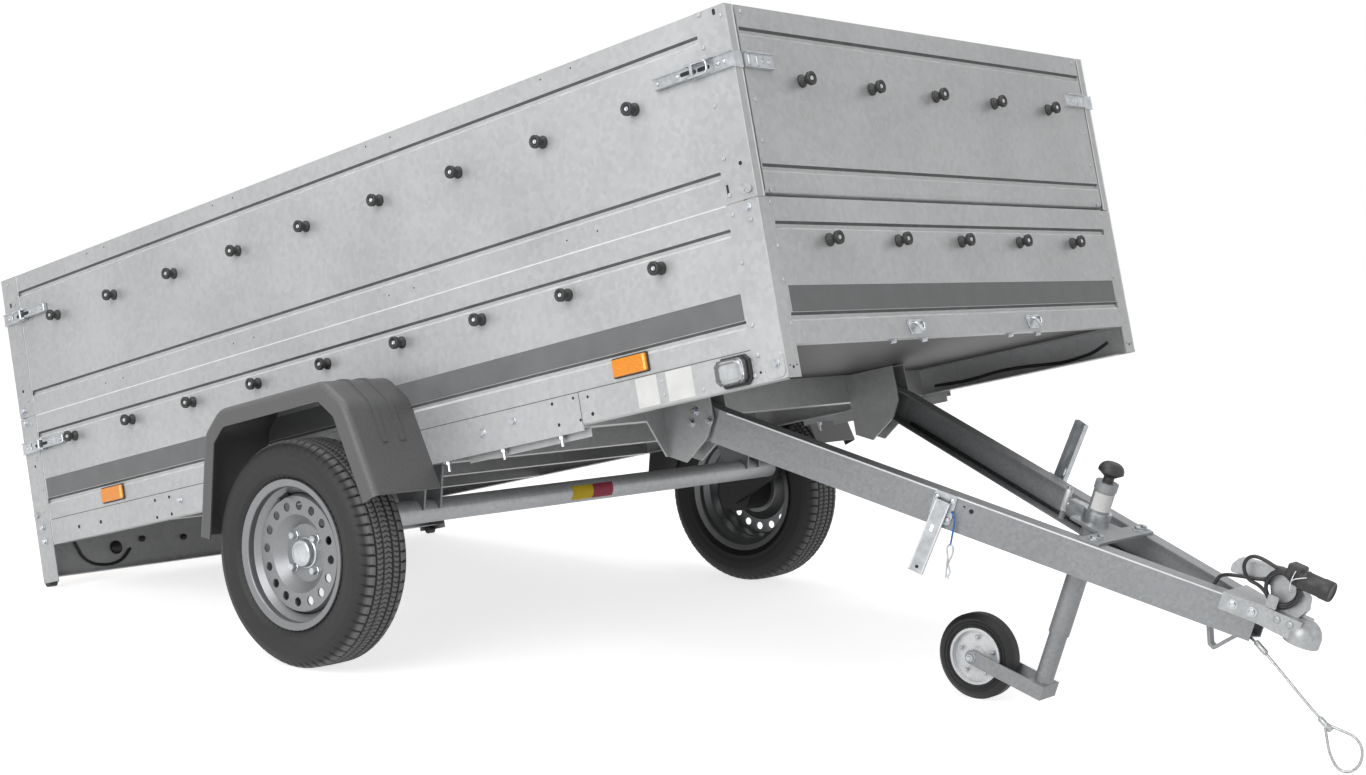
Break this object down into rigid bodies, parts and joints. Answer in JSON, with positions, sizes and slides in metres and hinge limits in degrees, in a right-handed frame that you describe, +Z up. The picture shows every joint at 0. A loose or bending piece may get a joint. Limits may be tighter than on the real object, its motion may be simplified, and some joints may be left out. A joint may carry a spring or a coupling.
{
  "type": "utility trailer",
  "caption": "Single-axle utility trailer with an open galvanised sheet box, hinged boards, tipping drawbar, mudguards and jockey wheel.",
  "frame": {"origin": "on the floor, under the middle of the trailer's length and width", "axes": "+X forward towards the coupling, +Y to the trailer's left, +Z up"},
  "size_m": [3.7648, 1.914, 1.5319],
  "materials": {
    "galvanised": "satin",
    "zinc_plated": "satin",
    "wheel_silver": "satin",
    "hub_black": "matte",
    "rubber_tyre": "matte",
    "plywood": "satin",
    "black_plastic": "matte",
    "grey_plastic": "matte",
    "cable_rubber": "matte",
    "wire_rope": "satin",
    "blue_cord": "matte",
    "orange_reflector": "gloss",
    "clear_lamp": "gloss",
    "red_lamp": "gloss",
    "roller_plastic": "matte"
  },
  "bodies": {
    "bed": {"axle_saddles": "galvanised", "axle_tube": "galvanised", "bed_knobs": "black_plastic", "bed_wiring": "cable_rubber", "corner_latches": "zinc_plated", "cross_members": "galvanised", "front_lower_board": "galvanised", "front_posts": "galvanised", "hinge_bracket_left": "galvanised", "hinge_bracket_right": "galvanised", "latch_catches": "zinc_plated", "load_floor": "plywood", "lower_side_left": "galvanised", "lower_side_right": "galvanised", "marker_lamps": "clear_lamp", "mudguard_left": "grey_plastic", "mudguard_right": "grey_plastic", "rear_lamp_bar": "galvanised", "rear_posts": "galvanised", "rear_rollers": "roller_plastic", "side_rail_left": "galvanised", "side_rail_right": "galvanised", "side_reflectors": "orange_reflector", "tail_lamps": "red_lamp", "trailing_arm_left": "galvanised", "trailing_arm_right": "galvanised", "upper_side_left": "galvanised", "upper_side_right": "galvanised"},
    "drawbar": {"bridge_plate": "galvanised", "cable_rest": "galvanised", "coupling": "zinc_plated", "coupling_lever": "zinc_plated", "crank_dome": "black_plastic", "drawbar_beam_left": "galvanised", "drawbar_beam_right": "galvanised", "drawbar_latches": "zinc_plated", "drawbar_wiring": "cable_rubber", "jockey_clamp": "zinc_plated", "jockey_tube": "zinc_plated", "latch_cord": "blue_cord", "plug": "black_plastic", "plug_cable": "cable_rubber", "plug_coil": "cable_rubber", "safety_cable": "wire_rope"},
    "wheel_right": {"hub_right": "hub_black", "rim_right": "wheel_silver", "tyre_right": "rubber_tyre"},
    "wheel_left": {"hub_left": "hub_black", "rim_left": "wheel_silver", "tyre_left": "rubber_tyre"},
    "front_upper": {"front_upper_board": "galvanised", "front_upper_knobs": "black_plastic"},
    "rear_upper": {"rear_upper_gate": "galvanised", "rear_upper_knobs": "black_plastic"},
    "rear_lower": {"rear_lower_gate": "galvanised", "rear_lower_knobs": "black_plastic"},
    "jockey_leg": {"jockey_slider": "zinc_plated"},
    "jockey_swivel_fork": {"jockey_fork": "zinc_plated"},
    "jockey_wheel": {"jockey_rim": "wheel_silver", "jockey_tyre": "rubber_tyre"}
  },
  "joints": [
    {"name": "tip", "type": "hinge", "parent": "bed", "child": "drawbar", "pos_m": [0.48379, 0, 0.6361], "axis": [0, 1, 0], "range_deg": [-30.8, 0]},
    {"name": "wheel_right_spin", "type": "hinge", "parent": "bed", "child": "wheel_right", "pos_m": [-0.31345, -0.871, 0.2735], "axis": [0, 1, 0], "continuous": true},
    {"name": "wheel_left_spin", "type": "hinge", "parent": "bed", "child": "wheel_left", "pos_m": [-0.31345, 0.871, 0.2735], "axis": [0, 1, 0], "continuous": true},
    {"name": "front_upper_hinge", "type": "hinge", "parent": "bed", "child": "front_upper", "pos_m": [0.88919, 0, 1.15601], "axis": [0, 1, 0], "range_deg": [0, 90]},
    {"name": "rear_upper_hinge", "type": "hinge", "parent": "bed", "child": "rear_upper", "pos_m": [-1.71789, 0, 0.49325], "axis": [0, -1, 0], "range_deg": [0, 90]},
    {"name": "rear_lower_hinge", "type": "hinge", "parent": "bed", "child": "rear_lower", "pos_m": [-1.64348, 0, 0.20056], "axis": [0, -1, 0], "range_deg": [0, 90]},
    {"name": "jockey_lift", "type": "slide", "parent": "drawbar", "child": "jockey_leg", "axis": [0.2846, 0, 0.9586], "range_m": [0, 0.1145]},
    {"name": "jockey_swivel", "type": "hinge", "parent": "jockey_leg", "child": "jockey_swivel_fork", "pos_m": [1.18424, 0, 0.05104], "axis": [0.2846, 0, 0.9586], "continuous": true},
    {"name": "jockey_spin", "type": "hinge", "parent": "jockey_swivel_fork", "child": "jockey_wheel", "pos_m": [1.01935, 0, 0.1], "axis": [0, 1, 0], "continuous": true}
  ]
}
